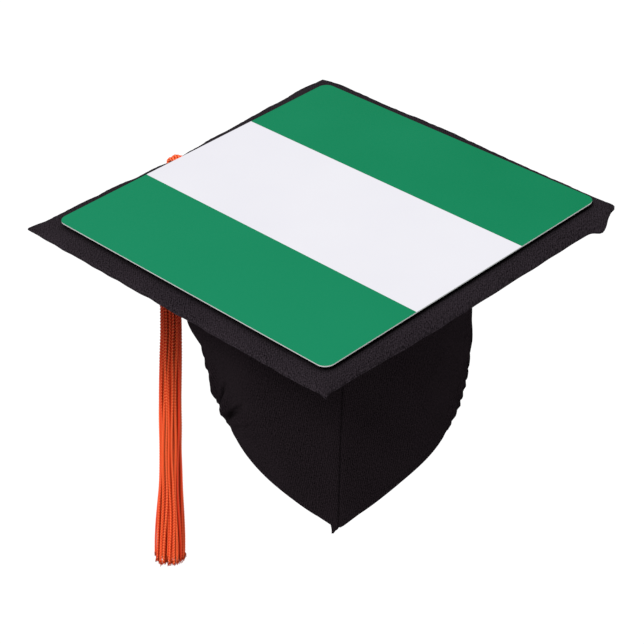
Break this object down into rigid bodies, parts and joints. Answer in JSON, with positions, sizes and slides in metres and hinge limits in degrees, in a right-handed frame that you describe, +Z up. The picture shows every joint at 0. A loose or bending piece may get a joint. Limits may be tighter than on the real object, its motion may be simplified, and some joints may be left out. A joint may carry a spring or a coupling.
{
  "type": "graduation cap",
  "caption": "Square mortarboard on a soft black crown, with a striped card topper held by hook-and-loop dots and a corded tassel that turns about the centre button.",
  "frame": {"origin": "middle of the head opening, level with the hem at the right side", "axes": "+Z up through the button, -Y towards the front point, one corner of the board on each of -Y, +X, +Y and -X"},
  "size_m": [0.3502, 0.3502, 0.3215],
  "materials": {
    "card": "printed card, satin, two green bands and a white one",
    "cap_twill": "matt black ribbed twill",
    "lining": "black woven lining",
    "core_board": "grey pressed board",
    "foam": "white foam padding",
    "canvas": "stiff canvas interlining",
    "elastic": "black woven elastic",
    "hook_loop": "black hook and loop",
    "steel": "zinc plated steel",
    "tassel": "orange rayon, satin sheen"
  },
  "bodies": {
    "cap": {"loop_dot_1": "hook_loop", "loop_dot_2": "hook_loop", "loop_dot_3": "hook_loop", "loop_dot_4": "hook_loop", "board_core": "core_board", "board_padding_top": "foam", "board_padding_bottom": "foam", "board_cover_top": "cap_twill", "board_cover_bottom": "cap_twill", "crown_seat": "cap_twill", "button_cap": "cap_twill", "button_back": "steel", "button_shank": "steel", "button_washer": "steel", "crown_tip": "lining", "crown_front_left": "cap_twill", "crown_back_left": "cap_twill", "front_stiffener_left": "canvas", "crown_lining_left": "lining", "elastic_band_left": "elastic", "hem_facing_left": "cap_twill", "crown_front_right": "cap_twill", "crown_back_right": "cap_twill", "front_stiffener_right": "canvas", "crown_lining_right": "lining", "elastic_band_right": "elastic", "hem_facing_right": "cap_twill"},
    "topper": {"topper_card": "card", "hook_dot_1": "hook_loop", "hook_dot_2": "hook_loop", "hook_dot_3": "hook_loop", "hook_dot_4": "hook_loop"},
    "tassel_loop": {"cord_loop": "tassel"},
    "tassel_drop": {"cord_drop_1": "tassel", "cord_drop_2": "tassel"},
    "tassel": {"tassel_head": "tassel", "tassel_binding": "tassel", "tassel_fringe": "tassel"}
  },
  "joints": [
    {"name": "topper_lift", "type": "slide", "parent": "cap", "child": "topper", "axis": [0, 0, 1], "range_m": [0, 0.03]},
    {"name": "tassel_turn", "type": "hinge", "parent": "cap", "child": "tassel_loop", "pos_m": [0, 0, 0.1], "axis": [0, 0, 1], "range_deg": [-13, 2]},
    {"name": "tassel_swing", "type": "hinge", "parent": "tassel_loop", "child": "tassel_drop", "pos_m": [-0.10046, 0.08251, 0.0979], "axis": [0.7071, 0.7071, 0], "range_deg": [0, 80]},
    {"name": "tassel_sway", "type": "hinge", "parent": "tassel_drop", "child": "tassel", "pos_m": [-0.10524, 0.07562, 0.03344], "axis": [-0.7071, 0.7071, 0], "range_deg": [-25, 18]}
  ]
}
